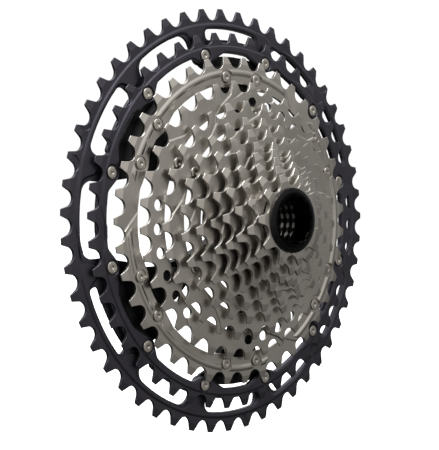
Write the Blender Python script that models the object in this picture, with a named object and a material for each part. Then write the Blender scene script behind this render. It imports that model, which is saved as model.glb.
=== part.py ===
"""Twelve-speed bicycle cassette, 10 to 51 teeth.

The spin axis is Y. The smallest sprocket and the lockring are at the outboard end, towards -Y, and
+Z is up. The origin is on the axis, in the plane where the spider's hub seats against the shoulder of the
freehub body. Lengths below are in millimetres and angles in degrees. A sprocket's angle is measured in the
XZ plane from +X towards +Z.
"""

import math

import bmesh
import bpy
from mathutils import Matrix, Vector

MM = 0.001

# Sprockets: number of teeth, and the angle of one tooth's tip.
SPROCKETS = (
    (51, 1.7),
    (45, 2.8),
    (39, 5.0),
    (33, 9.5),
    (28, 3.2),
    (24, 9.1),
    (21, 15.2),
    (18, 2.3),
    (16, 21.1),
    (14, 16.8),
    (12, 11.2),
    (10, 35.2),
)
CHAIN_PITCH = 12.7
SPROCKET_SPACING = 3.75
LARGEST_PLANE = 3.0  # the 51-tooth sprocket's middle plane, inboard of the seat
THICKNESS = 1.7
TIP_HEIGHT = 1.8  # tooth tip above the pitch circle
TIP_WIDTH = 3.0
GULLET_RADIUS = 3.95
GULLET_ANGLES = (-62, 0, 62)
TOUCH_GAP = 0.05  # clearance between faces that rest on each other

# Spline bore of the hub and of the loose sprockets
SPLINES = 23
SPLINE_OUTER = 16.4
SPLINE_INNER = 15.4
SPACER_BORE = 16.7
SPACER_OUTER = 19.6

# Rivets: radius of the circle, angles, and radius of the lug around each one
ARM_ANGLES = [30 + 60 * k for k in range(6)]
TIP_SPREAD = 15.0
TIP_CIRCLE = 82.5
MID_SPREAD = 8.6
MID_CIRCLE = 70.7
CIRCLE_33T = 53.0
CIRCLE_28T = 44.5
LUG_RADIUS = 4.4
RIVET_HEAD = 3.0
RIVET_HEAD_HEIGHT = 0.6
RIVET_TAIL = 2.6
RIVET_SHANK = 1.9
RIVET_HOLE = 2.0
RIVET_SIDES = 6

# Inner edges of the ring sprockets. The gaps between one lug and the next repeat round the ring, from the
# first lug on: the edge's radius there, the angle from a lug's middle to its foot, and the foot's fillet.
GAPS_51T = ((95.0, 4.2, 3.6), (95.0, 4.2, 3.6), (84.9, 3.4, 0.8), (95.0, 4.2, 3.6))
GAPS_45T = ((82.7, 9.3, 5.0), (82.7, 6.0, 4.0))
GAPS_39T = ((67.5, 4.2, 2.0),)
GAPS_33T = ((54.4, 6.2, 1.5),)
GAPS_28T = ((45.6, 7.2, 1.5),)
SLOT_51T = (89.65, 95.0, 10.8)  # closed slot at every second arm: inner and outer radius, half angle
RIM_51T = (95.3, 98.1, 0.7, 0.65)  # thick rim: radii, and height over the outboard and inboard faces
RIM_45T = (83.1, 87.9, 9.8, 0.9)  # arcs between the spider's tips: radii, half angle, height inboard
EYE_33T = (58.7, 2.4, 2.7)  # hole below a tooth: radius of its middle, and half its height and width
EYE_TEETH_33T = (4, 5, 6, 7, 15, 16, 17, 18, 19, 20, 24, 25, 26, 27)
WINDOW_24T = (24.0, 38.5)  # inner and outer radius of the windows between its spokes
WINDOW_HALF_ANGLE = 21.0

# Spider
HUB_RADIUS = 21.8
ARM_ROOT_HALF_WIDTH = 5.6
ARM_SIDE = ((28.0, 4.8), (38.0, 5.8), (50.0, 7.0), (59.0, 9.4), (66.0, 13.3))  # radius, half width
WEB_EDGE = 81.2
WEB_FACETS = 36
ARM_ROOT_BACK = -5.0  # Y of the spider's inboard side: at the arms' roots and behind the rivets
BACK_28T = -6.3
BACK_33T = -3.0
MID_BACK = 0.3

# Lockring and its washer
LOCKRING_RIM = 15.5
LOCKRING_FACE = 14.0
LOCKRING_BORE = 11.0
LOCKRING_NOTCH = 11.9
LOCKRING_SLEEVE = 12.9
LOCKRING_FLANGE = 1.2
LOCKRING_SLEEVE_LENGTH = 9.0
TOOL_NOTCHES = 12
WASHER_THICKNESS = 0.5
WASHER_BORE = 13.3
WASHER_OUTER = 15.0
TENTH_BORE = 13.3
TENTH_BOSS = 15.9


def plane_of(index):
    """Y of a sprocket's middle plane. Index 0 is the largest."""
    return LARGEST_PLANE - SPROCKET_SPACING * index


def outboard_face(index):
    return plane_of(index) - THICKNESS / 2


def inboard_face(index):
    return plane_of(index) + THICKNESS / 2


def polar(radius, degrees):
    angle = math.radians(degrees)
    return radius * math.cos(angle), radius * math.sin(angle)


def turned_by(points, degrees):
    """The points turned about the spin axis."""
    cosine, sine = polar(1.0, degrees)
    return [(x * cosine - z * sine, x * sine + z * cosine) for x, z in points]


def circle(radius, count, centre=(0.0, 0.0)):
    points = [polar(radius, 360 * k / count) for k in range(count)]
    return [(centre[0] + x, centre[1] + z) for x, z in points]


def tooth_outline(teeth, first_tip):
    """One loop round a sprocket: a flat tip and a round gullet for each tooth."""
    pitch_radius = CHAIN_PITCH / 2 / math.sin(math.pi / teeth)
    tip_radius = pitch_radius + TIP_HEIGHT
    half_tip = math.degrees(TIP_WIDTH / 2 / tip_radius)
    tooth = [polar(tip_radius, -half_tip), polar(tip_radius, half_tip)]
    gullet = []
    for angle in GULLET_ANGLES:
        x, z = polar(GULLET_RADIUS, angle)
        gullet.append((pitch_radius - x, z))
    tooth += turned_by(gullet, 180 / teeth)
    outline = []
    for k in range(teeth):
        outline += turned_by(tooth, first_tip + 360 * k / teeth)
    return outline


def spline_bore():
    """Zigzag loop of the spline's grooves and ridges."""
    loop = []
    for k in range(SPLINES):
        loop.append(polar(SPLINE_INNER, 360 * k / SPLINES))
        loop.append(polar(SPLINE_OUTER, 360 * (k + 0.5) / SPLINES))
    return loop


def filleted(corners, steps=2):
    """Loop of points through (x, z, radius) corners, with an arc at each corner that has a radius."""
    loop = []
    for k, (x, z, radius) in enumerate(corners):
        if not radius:
            loop.append((x, z))
            continue
        here = Vector((x, z))
        before = Vector(corners[k - 1][:2]) - here
        after = Vector(corners[(k + 1) % len(corners)][:2]) - here
        half = before.angle(after) / 2
        reach = min(radius / math.tan(half), before.length * 0.48, after.length * 0.48)
        middle = (before.normalized() + after.normalized()).normalized()
        centre = here + middle * reach / math.cos(half)
        first = here + before.normalized() * reach - centre
        last = here + after.normalized() * reach - centre
        turn = first.angle_signed(last)
        for step in range(steps + 1):
            arm = first.copy()
            arm.rotate(Matrix.Rotation(-turn * step / steps, 2))
            loop.append(tuple(centre + arm))
    return loop


def lugged_edge(lug_circle, angles, gaps, arc_points=3):
    """Inner edge of a ring sprocket: a ring's edge with a round lug inwards at each rivet."""
    loop = []
    angles = sorted(angle % 360 for angle in angles)
    for number, angle in enumerate(angles):
        before = gaps[(number - 1) % len(gaps)]
        after = gaps[number % len(gaps)]
        feet = []
        for ring_radius, half_angle, fillet in (before, after):
            x, z = polar(ring_radius, half_angle)
            across = Vector((x - lug_circle, z))
            side = math.atan2(across.y, across.x) + math.acos(LUG_RADIUS / across.length)
            feet.append((x, z, fillet, math.degrees(side)))
        (x, z, fillet, start), (last_x, last_z, last_fillet, end) = feet
        lug = [(x, -z, fillet)]
        for k in range(arc_points + 2):
            along = -start - (360 - start - end) * k / (arc_points + 1)
            x, z = polar(LUG_RADIUS, along)
            lug.append((lug_circle + x, z, 0))
        lug.append((last_x, last_z, last_fillet))
        for x, z, fillet in lug:
            loop.append((*turned_by([(x, z)], angle)[0], fillet))
        gap = (angles[(number + 1) % len(angles)] - angle) % 360 - 2 * after[1]
        steps = max(2, round(gap / 5))
        for k in range(1, steps):
            loop.append((*polar(after[0], angle + after[1] + gap * k / steps), 0))
    return filleted(loop)


def slot(inner_radius, outer_radius, half_angle, centre_angle):
    """A slot along the ring, with round ends."""
    count = 5
    loop = [polar(inner_radius, half_angle * (2 * k / count - 1)) for k in range(count + 1)]
    loop += [polar(outer_radius, half_angle * (1 - 2 * k / count)) for k in range(count + 1)]
    radius = (outer_radius - inner_radius) * 0.49
    rounded = [(x, z, radius if k % (count + 1) in (0, count) else 0) for k, (x, z) in enumerate(loop)]
    return turned_by(filleted(rounded, 3), centre_angle)


def window(inner_radius, outer_radius, centre_angle, half_angle):
    """A window with cut corners between two spokes."""
    inset = half_angle * 0.14
    step = (outer_radius - inner_radius) * 0.14
    loop = [
        polar(inner_radius + step, -half_angle * 0.62),
        polar(inner_radius, -half_angle * 0.45),
        polar(inner_radius, half_angle * 0.45),
        polar(inner_radius + step, half_angle * 0.62),
        polar(outer_radius - step, half_angle),
        polar(outer_radius, half_angle - inset),
        polar(outer_radius + 0.3, 0),
        polar(outer_radius, -half_angle + inset),
        polar(outer_radius - step, -half_angle),
    ]
    return turned_by(loop, centre_angle)


def material(name, colour, roughness, metallic):
    made = bpy.data.materials.new(name)
    made.use_nodes = True
    shader = made.node_tree.nodes["Principled BSDF"]
    shader.inputs["Base Color"].default_value = (*colour, 1.0)
    shader.inputs["Roughness"].default_value = roughness
    shader.inputs["Metallic"].default_value = metallic
    return made


def add_object(name, mesh, finish, place=(0.0, 0.0, 0.0)):
    made = bpy.data.objects.new(name, mesh)
    made.location = [value * MM for value in place]
    if not mesh.materials:
        mesh.materials.append(finish)
    bpy.context.scene.collection.objects.link(made)
    return made


def as_cutter(made):
    made.hide_render = True
    made.display_type = "WIRE"
    return made


def boolean(made, other, operation):
    modifier = made.modifiers.new(operation.title(), "BOOLEAN")
    modifier.operation = operation
    modifier.object = as_cutter(other)


def plate_mesh(name, outer, holes, low, high):
    """A flat plate between two Y values: one outer loop and any number of holes."""
    work = bmesh.new()
    for loop in [outer, *holes]:
        corners = [work.verts.new((x * MM, low * MM, z * MM)) for x, z in loop]
        for k, corner in enumerate(corners):
            work.edges.new((corners[k - 1], corner))
    bmesh.ops.triangle_fill(work, use_beauty=True, use_dissolve=False, edges=work.edges[:])
    raised = bmesh.ops.extrude_face_region(work, geom=work.faces[:])["geom"]
    moved = [item for item in raised if isinstance(item, bmesh.types.BMVert)]
    bmesh.ops.translate(work, verts=moved, vec=(0, (high - low) * MM, 0))
    bmesh.ops.recalc_face_normals(work, faces=work.faces[:])
    return finished_mesh(name, work)


def turned_mesh(name, profiles):
    """A solid turned about Y. profiles holds one closed loop of (radius, y) for each angle in turn.

    A point at radius 0 is shared by all the angles."""
    work = bmesh.new()
    centres = {}
    rings = []
    for k, profile in enumerate(profiles):
        ring = []
        for number, (radius, y) in enumerate(profile):
            x, z = polar(radius, 360 * k / len(profiles))
            if radius == 0:
                if number not in centres:
                    centres[number] = work.verts.new((0, y * MM, 0))
                ring.append(centres[number])
            else:
                ring.append(work.verts.new((x * MM, y * MM, z * MM)))
        rings.append(ring)
    for k, ring in enumerate(rings):
        following = rings[(k + 1) % len(rings)]
        for number, corner in enumerate(ring):
            previous = number - 1
            face = [ring[previous], corner, following[number], following[previous]]
            distinct = list(dict.fromkeys(face))
            if len(distinct) > 2:
                work.faces.new(distinct)
    bmesh.ops.recalc_face_normals(work, faces=work.faces[:])
    return finished_mesh(name, work)


def finished_mesh(name, work):
    mesh = bpy.data.meshes.new(name)
    work.to_mesh(mesh)
    work.free()
    mesh.shade_smooth()
    mesh.set_sharp_from_angle(angle=math.radians(35))
    return mesh


def ring_mesh(name, inner, outer, low, high, sides):
    return turned_mesh(name, [[(inner, low), (outer, low), (outer, high), (inner, high)]] * sides)


def lug_places(arm_spread, circle_radius):
    """Places of the rivets on one circle: two for each arm, or one where the spread is 0."""
    spreads = (-arm_spread, arm_spread) if arm_spread else (0,)
    return [polar(circle_radius, arm + spread) for arm in ARM_ANGLES for spread in spreads]


def lug_angles(arm_spread):
    spreads = (-arm_spread, arm_spread) if arm_spread else (0,)
    return [arm + spread for arm in ARM_ANGLES for spread in spreads]


def rivet_holes(places):
    return [circle(RIVET_HOLE, RIVET_SIDES, place) for place in places]


def eye_holes():
    """Small oval holes below some of the 33-tooth sprocket's teeth."""
    teeth, first_tip = SPROCKETS[3]
    radius, half_height, half_width = EYE_33T
    eye = [(radius + x * half_height, z * half_width) for x, z in circle(1, 8)]
    return [turned_by(eye, first_tip + 360 * k / teeth) for k in EYE_TEETH_33T]


def arc_mesh(name, inner, outer, low, high, centres, half_angle):
    """Pieces of a ring, one about each of the centre angles."""
    work = bmesh.new()
    steps = 4
    for centre in centres:
        sections = []
        for k in range(steps + 1):
            angle = centre + half_angle * (2 * k / steps - 1)
            corners = ((inner, low), (outer, low), (outer, high), (inner, high))
            section = [(*polar(radius, angle), y) for radius, y in corners]
            sections.append([work.verts.new((x * MM, y * MM, z * MM)) for x, z, y in section])
        for first, second in zip(sections, sections[1:]):
            for k in range(4):
                work.faces.new((first[k - 1], first[k], second[k], second[k - 1]))
        work.faces.new(sections[0])
        work.faces.new(sections[-1])
    bmesh.ops.recalc_face_normals(work, faces=work.faces[:])
    return finished_mesh(name, work)


def make_ring_sprockets(dark, steel):
    """The five riveted sprockets, which are rings with lugs. The two largest have a thicker rim."""
    tips = lug_places(TIP_SPREAD, TIP_CIRCLE)
    middles = lug_places(MID_SPREAD, MID_CIRCLE)
    edge_51t = lugged_edge(TIP_CIRCLE, lug_angles(TIP_SPREAD), GAPS_51T)
    edge_45t = lugged_edge(TIP_CIRCLE, lug_angles(TIP_SPREAD), GAPS_45T)
    edge_39t = lugged_edge(MID_CIRCLE, lug_angles(MID_SPREAD), GAPS_39T, 1)
    edge_33t = lugged_edge(CIRCLE_33T, ARM_ANGLES, GAPS_33T)
    edge_28t = lugged_edge(CIRCLE_28T, ARM_ANGLES, GAPS_28T)
    slots = [slot(*SLOT_51T, arm) for arm in ARM_ANGLES[1::2]]
    rings = (
        (0, dark, [edge_51t, *slots, *rivet_holes(tips)]),
        (1, dark, [edge_45t, *rivet_holes(tips)]),
        (2, steel, [edge_39t, *rivet_holes(middles)]),
        (3, steel, [edge_33t, *rivet_holes(lug_places(0, CIRCLE_33T)), *eye_holes()]),
        (4, steel, [edge_28t, *rivet_holes(lug_places(0, CIRCLE_28T))]),
    )
    half = THICKNESS / 2
    for index, finish, holes in rings:
        teeth, first_tip = SPROCKETS[index]
        name = f"sprocket_{teeth}t"
        mesh = plate_mesh(name, tooth_outline(teeth, first_tip), holes, -half, half)
        made = add_object(name, mesh, finish, (0, plane_of(index), 0))
        place = (0, plane_of(index), 0)
        if teeth == 51:
            inner, outer, front, back = RIM_51T
            rim = ring_mesh("rim_51t", inner, outer, -half - front, half + back, 72)
            boolean(made, add_object("rim_51t", rim, finish, place), "UNION")
        elif teeth == 45:
            inner, outer, half_angle, back = RIM_45T
            centres = [30 * k for k in range(12)]
            rim = arc_mesh("rim_45t", inner, outer, half - 0.4, half + back, centres, half_angle)
            boolean(made, add_object("rim_45t", rim, finish, place), "UNION")


def make_loose_sprockets(steel):
    """The sprockets that slide onto the freehub's spline, with the spacers between them."""
    half = THICKNESS / 2
    for index in range(5, 11):
        teeth, first_tip = SPROCKETS[index]
        name = f"sprocket_{teeth}t"
        holes = [spline_bore()]
        if teeth == 24:
            holes += [window(*WINDOW_24T, 60 * k, WINDOW_HALF_ANGLE) for k in range(6)]
        mesh = plate_mesh(name, tooth_outline(teeth, first_tip), holes, -half, half)
        made = add_object(name, mesh, steel, (0, plane_of(index), 0))
        low = inboard_face(index) + TOUCH_GAP
        high = outboard_face(index - 1) - TOUCH_GAP
        if teeth == 12:
            boss = ring_mesh("boss_12t", SPACER_BORE, SPACER_OUTER, low - 0.4, high, 24)
            boolean(made, add_object("boss_12t", boss, steel), "UNION")
        else:
            spacer_name = f"spacer_{teeth}_{SPROCKETS[index - 1][0]}"
            spacer = ring_mesh(spacer_name, SPACER_BORE, SPACER_OUTER, low, high, 20)
            add_object(spacer_name, spacer, steel)


def make_smallest_sprocket(steel):
    """The 10-tooth sprocket: its boss is its spacer, and the lockring's sleeve passes through it."""
    index = 11
    teeth, first_tip = SPROCKETS[index]
    half = THICKNESS / 2
    name = f"sprocket_{teeth}t"
    bore = circle(TENTH_BORE, 24)
    mesh = plate_mesh(name, tooth_outline(teeth, first_tip), [bore], -half, half)
    made = add_object(name, mesh, steel, (0, plane_of(index), 0))
    high = outboard_face(index - 1) - TOUCH_GAP
    boss = ring_mesh("boss_10t", TENTH_BORE + 0.3, TENTH_BOSS, inboard_face(index) - 0.4, high, 24)
    boolean(made, add_object("boss_10t", boss, steel), "UNION")


def arm_outline():
    """One arm from the hub to its two tips, along +X, as seen from the outboard side."""
    root = math.sqrt(HUB_RADIUS**2 - ARM_ROOT_HALF_WIDTH**2)
    side = [(root, ARM_ROOT_HALF_WIDTH), *ARM_SIDE]
    tip = polar(TIP_CIRCLE, TIP_SPREAD)
    middle = polar(MID_CIRCLE, MID_SPREAD)
    leg = math.degrees(math.atan2(tip[1] - middle[1], tip[0] - middle[0]))
    for turn in (90, 52, 14, -24, -62):
        x, z = polar(LUG_RADIUS, leg + turn)
        side.append((tip[0] + x, tip[1] + z))
    lower_web = tip[1] - LUG_RADIUS - 1.5
    side.append((math.sqrt(WEB_EDGE**2 - lower_web**2), lower_web))
    side.append(polar(WEB_EDGE, 5.5))
    return [(x, -z) for x, z in side] + side[::-1]


def make_spider(finish):
    """The carrier: a hub on the spline and six forked arms that hold the five riveted sprockets."""
    outline = []
    half_root = math.degrees(math.asin(ARM_ROOT_HALF_WIDTH / HUB_RADIUS))
    for arm in ARM_ANGLES:
        outline += turned_by(arm_outline(), arm)
        between = 60 - 2 * half_root
        outline += [polar(HUB_RADIUS, arm + half_root + between * k / 3) for k in (1, 2)]
    places = lug_places(TIP_SPREAD, TIP_CIRCLE) + lug_places(MID_SPREAD, MID_CIRCLE)
    places += lug_places(0, CIRCLE_33T) + lug_places(0, CIRCLE_28T)
    holes = [spline_bore(), *rivet_holes(places)]
    spider = add_object("beam_spider", plate_mesh("beam_spider", outline, holes, -20, 10), finish)
    section = [
        (14.0, hub_end()),
        (HUB_RADIUS, hub_end()),
        (24.0, pad_face(4)),
        (47.9, pad_face(4)),
        (48.2, pad_face(3)),
        (57.8, pad_face(3)),
        (65.2, pad_face(2)),
        (75.6, pad_face(2)),
        (77.2, pad_face(1)),
        (90.0, pad_face(1)),
        (90.0, tip_back()),
        (77.4, tip_back()),
        (75.6, MID_BACK),
        (65.6, MID_BACK),
        (58.0, BACK_33T),
        (49.4, BACK_33T),
        (48.6, BACK_28T),
        (39.8, BACK_28T),
        (24.0, ARM_ROOT_BACK),
        (HUB_RADIUS + 0.2, 0.0),
        (14.0, 0.0),
    ]
    cutter = turned_mesh("spider_section", [section] * WEB_FACETS)
    boolean(spider, add_object("spider_section", cutter, finish), "INTERSECT")


def hub_end():
    """Outboard end of the hub, level with the 28-tooth sprocket's outboard face."""
    return outboard_face(4)


def pad_face(index):
    """Y of the spider's pad behind a sprocket."""
    return inboard_face(index) + TOUCH_GAP


def tip_back():
    """Y of the back of the tips, which the 51-tooth sprocket rests on."""
    return outboard_face(0) - TOUCH_GAP


def rivet_mesh(name, length):
    """A rivet whose shank runs from y 0, under the head, to length, over the tail. The head points to -Y."""
    profile = [
        (0, -RIVET_HEAD_HEIGHT),
        (RIVET_HEAD, -RIVET_HEAD_HEIGHT),
        (RIVET_HEAD, 0),
        (RIVET_SHANK, 0),
        (RIVET_SHANK, length),
        (RIVET_TAIL, length),
        (RIVET_TAIL, length + RIVET_HEAD_HEIGHT),
        (0, length + RIVET_HEAD_HEIGHT),
    ]
    return turned_mesh(name, [profile] * RIVET_SIDES)


def make_rivets(finish):
    groups = (
        ("outer_rivet", 1, inboard_face(0), lug_places(TIP_SPREAD, TIP_CIRCLE)),
        ("inner_rivet", 2, MID_BACK, lug_places(MID_SPREAD, MID_CIRCLE)),
        ("rivet_33t", 3, BACK_33T, lug_places(0, CIRCLE_33T)),
        ("rivet_28t", 4, BACK_28T, lug_places(0, CIRCLE_28T)),
    )
    for name, index, back, places in groups:
        front = outboard_face(index) - TOUCH_GAP
        mesh = rivet_mesh(name, back + TOUCH_GAP - front)
        for number, (x, z) in enumerate(places, 1):
            add_object(f"{name}_{number:02d}", mesh, finish, (x, front, z))


def make_lockring(finish, washer_finish):
    face = outboard_face(11)
    washer = ring_mesh(
        "lockring_washer",
        WASHER_BORE,
        WASHER_OUTER,
        face - TOUCH_GAP - WASHER_THICKNESS,
        face - TOUCH_GAP,
        24,
    )
    add_object("lockring_washer", washer, washer_finish)
    seat = face - 2 * TOUCH_GAP - WASHER_THICKNESS
    front = seat - LOCKRING_FLANGE
    profiles = []
    for k in range(4 * TOOL_NOTCHES):
        bore = LOCKRING_NOTCH if k % 4 < 2 else LOCKRING_BORE
        profiles.append(
            [
                (bore, front),
                (LOCKRING_FACE, front),
                (LOCKRING_RIM, seat - LOCKRING_FLANGE * 0.4),
                (LOCKRING_RIM, seat),
                (LOCKRING_SLEEVE, seat),
                (LOCKRING_SLEEVE, seat + LOCKRING_SLEEVE_LENGTH),
                (bore, seat + LOCKRING_SLEEVE_LENGTH),
            ]
        )
    add_object("lockring", turned_mesh("lockring", profiles), finish)


def main():
    for leftover in list(bpy.data.objects):
        bpy.data.objects.remove(leftover)
    dark = material("dark_anodised", (0.055, 0.05, 0.065), 0.42, 0.8)
    black = material("black_anodised", (0.012, 0.012, 0.013), 0.45, 0.6)
    steel = material("nickel_steel", (0.42, 0.39, 0.35), 0.33, 1.0)
    rivet_steel = material("rivet_steel", (0.6, 0.58, 0.54), 0.3, 1.0)
    gloss_black = material("gloss_black", (0.008, 0.008, 0.009), 0.2, 0.3)
    make_ring_sprockets(dark, steel)
    make_loose_sprockets(steel)
    make_smallest_sprocket(steel)
    make_spider(black)
    make_rivets(rivet_steel)
    make_lockring(gloss_black, steel)


main()
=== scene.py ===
import math

import bmesh
import bpy
import numpy as np
from mathutils import Matrix, Vector


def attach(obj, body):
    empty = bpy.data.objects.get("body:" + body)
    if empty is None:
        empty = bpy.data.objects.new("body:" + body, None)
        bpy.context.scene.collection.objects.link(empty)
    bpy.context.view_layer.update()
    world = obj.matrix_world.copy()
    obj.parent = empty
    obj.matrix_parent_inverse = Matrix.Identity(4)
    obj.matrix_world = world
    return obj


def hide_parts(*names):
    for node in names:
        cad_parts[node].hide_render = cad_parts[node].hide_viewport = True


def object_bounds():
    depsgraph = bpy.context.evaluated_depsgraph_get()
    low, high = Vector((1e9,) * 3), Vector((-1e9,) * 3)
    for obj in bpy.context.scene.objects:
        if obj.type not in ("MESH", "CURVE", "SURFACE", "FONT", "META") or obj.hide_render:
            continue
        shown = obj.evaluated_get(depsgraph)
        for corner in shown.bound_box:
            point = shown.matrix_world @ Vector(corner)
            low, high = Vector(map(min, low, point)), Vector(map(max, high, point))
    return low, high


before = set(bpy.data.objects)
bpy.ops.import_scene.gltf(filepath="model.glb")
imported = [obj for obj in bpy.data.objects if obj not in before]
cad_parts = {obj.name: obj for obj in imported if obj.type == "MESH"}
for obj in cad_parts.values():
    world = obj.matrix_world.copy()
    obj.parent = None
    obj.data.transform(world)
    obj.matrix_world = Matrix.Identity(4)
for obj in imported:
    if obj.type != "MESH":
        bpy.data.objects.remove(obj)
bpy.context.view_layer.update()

MM = 0.001

# The cassette's numbers, as the CAD has them: millimetres and degrees, angles from +X towards +Z

# Number of teeth and angle of one tooth's tip, from the inboard sprocket to the outboard one
SPROCKETS = (
    (51, 1.7),
    (45, 2.8),
    (39, 5.0),
    (33, 9.5),
    (28, 3.2),
    (24, 9.1),
    (21, 15.2),
    (18, 2.3),
    (16, 21.1),
    (14, 16.8),
    (12, 11.2),
    (10, 35.2),
)
CHAIN_PITCH = 12.7
SPACING = 3.75
LARGEST_PLANE = 3.0
THICKNESS = 1.7
TIP_HEIGHT = 1.8
TIP_WIDTH = 3.0
GULLET_RADIUS = 3.95
SPLINES = 23
SPLINE_OUTER = 16.4
SPLINE_INNER = 15.4
BORE_10T = 13.3
SPACER_BORE = 16.7
SPACER_OUTER = 19.6
# Collars of the 12- and 10-tooth sprockets: (outer, inner) radius
COLLARS = {12: (19.6, 16.5), 10: (15.9, 13.5)}
ARM_ANGLES = [30 + 60 * k for k in range(6)]
# Rivets: half the angle between the two on an arm, and the radius of their circle
TIP_SPREAD, TIP_CIRCLE = 15.0, 82.5
MID_SPREAD, MID_CIRCLE = 8.6, 70.7
CIRCLE_33T = 53.0
CIRCLE_28T = 44.5
LUG_RADIUS = 4.4
LUG_RADIUS_39T = 5.1
# Gaps between one lug and the next: the edge's radius, the angle to the lug's foot, its fillet
GAPS_51T = ((95.0, 4.2, 4.0), (95.0, 4.2, 5.8), (84.9, 3.4, 0.8), (95.0, 4.2, 5.8))
GAPS_45T = ((82.7, 9.3, 5.0), (82.7, 6.0, 4.0))
GAPS_39T = ((67.3, 5.0, 2.5), (67.5, 9.5, 6.0))
# Inner radius, outer radius and half angle of the 51T's slots and of the bars behind the 45T's rim
SLOT_51T = (89.65, 95.0, 10.8)
RIM_45T = (82.72, 87.9, 9.8)
# Radius, half height and half width of the 33T's eye holes, and the teeth that have one
EYE_33T = (58.7, 2.4, 2.7)
EYE_TEETH_33T = (4, 5, 6, 7, 15, 16, 17, 18, 19, 20, 24, 25, 26, 27)
# Inner radius, outer radius and half angle of the 24T's windows
WINDOW_24T = (24.0, 38.5, 21.0)
# Spider: the hub's radius, an arm's half width at the hub, and the web's radius between its tips
HUB_RADIUS = 21.8
ARM_ROOT = 5.6
WEB_RADIUS = 81.2
# Lockring: the washer, the tool bore and its notches, and the thread's crest and foot
WASHER_THICKNESS = 0.5
RING_BORE, RING_NOTCH = 11.0, 11.9
FLANGE_THICKNESS, FLANGE_RADIUS = 1.2, 15.5
SLEEVE_LENGTH = 9.0
THREAD_CREST, THREAD_ROOT, THREAD_TURNS = 12.9, 12.62, 8
KNURL = 0.08  # depth of the rim's knurl

EDGE = 0.2  # rounding of the sprockets' edges
WEAR_AND_HIGHLIGHT_WIDTH = 0.45  # turned faces narrower than this count as edges, brightened as wear and as painted highlight
STRAIGHT = math.radians(88)  # half angle of a corner that is taken as straight
FILLET_SHARE = 0.48  # the most of a side that one fillet uses up
BEYOND_TEETH = 9.0  # height over the root circle that is clear of the teeth
THIRDS = (0, 120, 240)  # the rings repeat three times round the axis
# Shift ramps: wall points as (height over the root circle, distance along it)
RAMP_WALL = ((BEYOND_TEETH, -6.0), (0.0, 0.0), (-5.8, 8.0), (-7.3, 17.0))
STEEP_WALL = ((BEYOND_TEETH, -2.0), (-1.1, 2.0), (-5.2, 9.7), (-8.1, 13.3))
SHORT_WALL = ((BEYOND_TEETH, -8.0), (-6.4, 7.0), (-9.0, 9.6))
LOW_WALL = ((BEYOND_TEETH, -4.0), (0.0, 0.0), (-2.6, 5.0), (-4.0, 9.0))
# Section of a recess's wall: (share of the depth, share of the slope's width)
SOFT_WALL = ((0.0, 0.0), (0.12, 0.25), (0.5, 0.5), (0.88, 0.75), (1.0, 1.0))
# Section of the spider, as (radius, y): the arms step inboard as the sprockets get larger
SPIDER_SECTION = (
    (14.0, -12.85),
    (21.0, -12.85),
    (21.8, -12.2),
    (24.0, -11.1),
    (47.8, -11.1),
    (48.3, -7.35),
    (57.8, -7.35),
    (65.2, -3.6),
    (75.6, -3.6),
    (77.2, 0.15),
    (90.0, 0.15),
    (90.0, 2.1),
    (77.6, 2.1),
    (75.6, 0.3),
    (65.6, 0.3),
    (58.0, -3.0),
    (49.6, -3.0),
    (47.0, -6.3),
    (39.8, -6.3),
    (24.0, -5.0),
    (22.0, -0.4),
    (21.6, 0.0),
    (14.0, 0.0),
)
# Rivet: (radius, y from the front) of its dimpled head, then (radius, y from the back) of its tail
RIVET_SIDES = 32
RIVET_HEAD = (
    (0.0, -0.05),
    (0.35, -0.08),
    (0.62, -0.20),
    (0.8, -0.46),
    (0.95, -0.56),
    (1.15, -0.60),
    (2.45, -0.57),
    (2.68, -0.50),
    (2.78, -0.36),
    (2.8, 0.5),
    (1.9, 0.5),
)
RIVET_TAIL = (
    (1.9, 0.0),
    (2.6, 0.0),
    (2.55, 0.3),
    (2.25, 0.54),
    (1.7, 0.6),
    (1.0, 0.58),
    (0.0, 0.35),
)
# Lockring's rounded flange: (radius, y from the front)
FLANGE_FACE = (
    (12.3, 0.0),
    (12.9, 0.05),
    (13.5, 0.16),
    (14.1, 0.33),
    (14.7, 0.55),
    (15.15, 0.75),
    (15.42, 0.9),
)


# ---------------------------------------------------------------- plane geometry, as (x, z) points


def polar(radius, degrees):
    angle = math.radians(degrees)
    return radius * math.cos(angle), radius * math.sin(angle)


def turned_by(points, degrees):
    cosine, sine = polar(1.0, degrees)
    return [(x * cosine - z * sine, x * sine + z * cosine) for x, z in points]


def circle(radius, count, centre=(0.0, 0.0)):
    return [
        (centre[0] + x, centre[1] + z)
        for x, z in (polar(radius, 360 * k / count) for k in range(count))
    ]


def pitch_radius(teeth):
    return CHAIN_PITCH / 2 / math.sin(math.pi / teeth)


def root_radius(teeth):
    return pitch_radius(teeth) - GULLET_RADIUS


def filleted(corners, steps):
    """Loop of points through (x, z, radius) corners, with an arc at each one that has a radius."""
    loop = []
    count = len(corners)
    for k, (x, z, radius) in enumerate(corners):
        if not radius:
            loop.append((x, z))
            continue
        here = Vector((x, z))
        before = Vector(corners[k - 1][:2]) - here
        after = Vector(corners[(k + 1) % count][:2]) - here
        half = before.angle(after) / 2
        if half > STRAIGHT:
            loop.append((x, z))
            continue
        room = min(before.length * FILLET_SHARE, after.length * FILLET_SHARE)
        reach = min(radius / math.tan(half), room)
        actual = reach * math.tan(half)
        centre = here + (before.normalized() + after.normalized()).normalized() * (
            actual / math.sin(half)
        )
        first = here + before.normalized() * reach - centre
        last = here + after.normalized() * reach - centre
        turn = first.angle_signed(last)
        for step in range(steps + 1):
            arm = first.copy()
            arm.rotate(Matrix.Rotation(-turn * step / steps, 2))
            loop.append(tuple(centre + arm))
    return loop


def signed_area(loop):
    points = np.array(loop)
    following = np.roll(points, -1, axis=0)
    return float((points[:, 0] * following[:, 1] - following[:, 0] * points[:, 1]).sum() / 2)


def as_outer(loop):
    return loop if signed_area(loop) > 0 else loop[::-1]


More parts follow.
